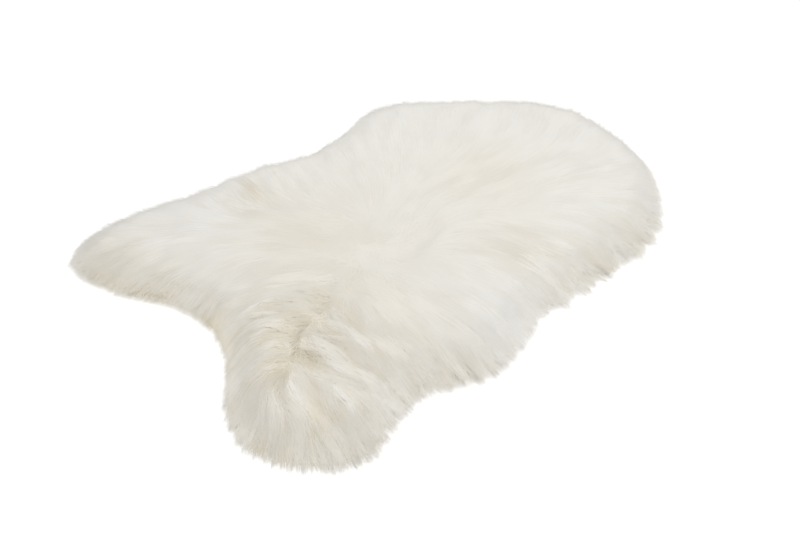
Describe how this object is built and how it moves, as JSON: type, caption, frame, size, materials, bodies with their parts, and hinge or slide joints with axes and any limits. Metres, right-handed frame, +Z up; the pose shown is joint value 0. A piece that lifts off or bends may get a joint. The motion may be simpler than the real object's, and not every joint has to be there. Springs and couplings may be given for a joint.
{
  "type": "sheepskin rug",
  "caption": "One-piece long-haired sheepskin rug that lies flat: a tanned hide in the animal's outline with its natural white wool and pointed locks round the rim.",
  "frame": {"origin": "middle of the pelt's bounding box, on the floor under the hide", "axes": "+X along the spine from the hind feet to the neck, +Y across to the far flank, +Z up out of the wool"},
  "size_m": [1.0335, 0.715, 0.0561],
  "materials": {
    "wool": "matt long-haired undyed wool on a suede hide"
  },
  "bodies": {
    "root": {"sheepskin": "wool"}
  },
  "joints": []
}
